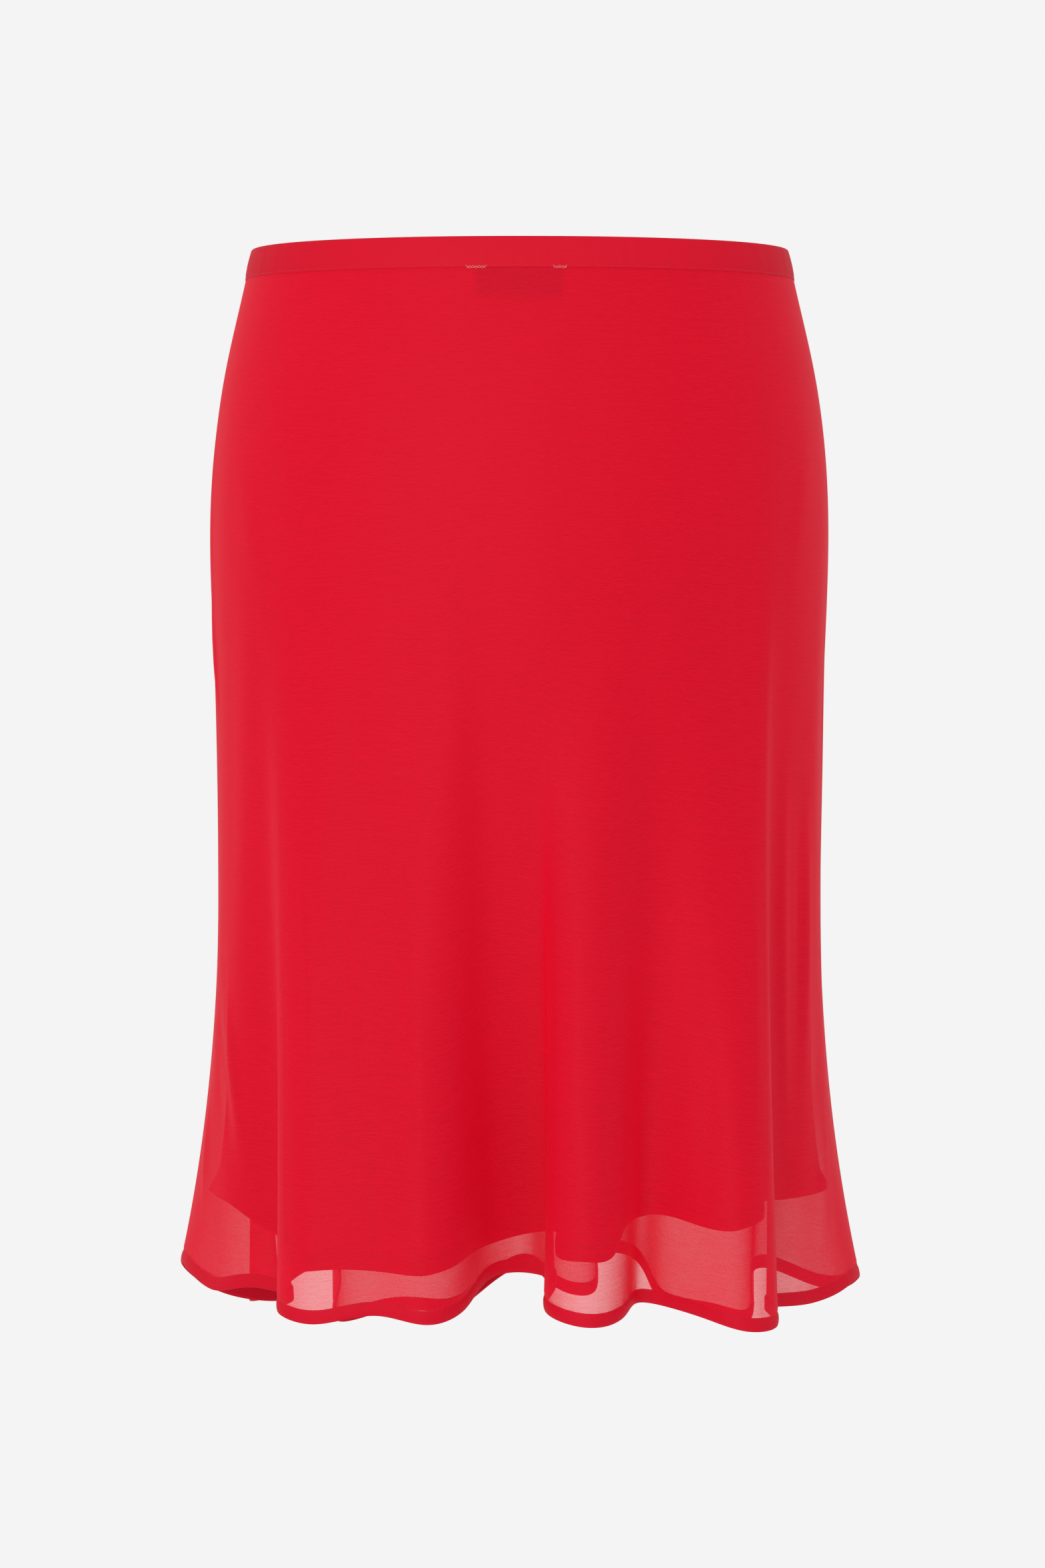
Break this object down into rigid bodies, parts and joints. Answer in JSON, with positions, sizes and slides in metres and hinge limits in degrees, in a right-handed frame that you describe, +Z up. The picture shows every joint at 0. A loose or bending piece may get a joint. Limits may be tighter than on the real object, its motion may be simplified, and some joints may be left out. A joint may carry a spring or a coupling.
{
  "type": "skirt",
  "caption": "Knee-length pull-on skirt of sheer red crepe over a shorter opaque lining, with an elasticated waistband and a softly folded flared hem, filled out as worn.",
  "frame": {"origin": "middle of the waist opening, level with the top edge of the waistband", "axes": "+Z up, out of the waist opening; the wearer's back faces -Y and the front +Y; +X is the wearer's right"},
  "size_m": [0.4586, 0.3244, 0.7341],
  "materials": {
    "crepe": "sheer matt crepe, see-through where it is single",
    "lining": "opaque, fine and slightly satiny",
    "waistband": "doubled matt crepe over elastic",
    "label": "blank woven ribbon"
  },
  "bodies": {
    "root": {"waistband": "waistband", "crepe_back": "crepe", "crepe_front": "crepe", "lining_back": "lining", "lining_front": "lining", "label": "label"}
  },
  "joints": []
}
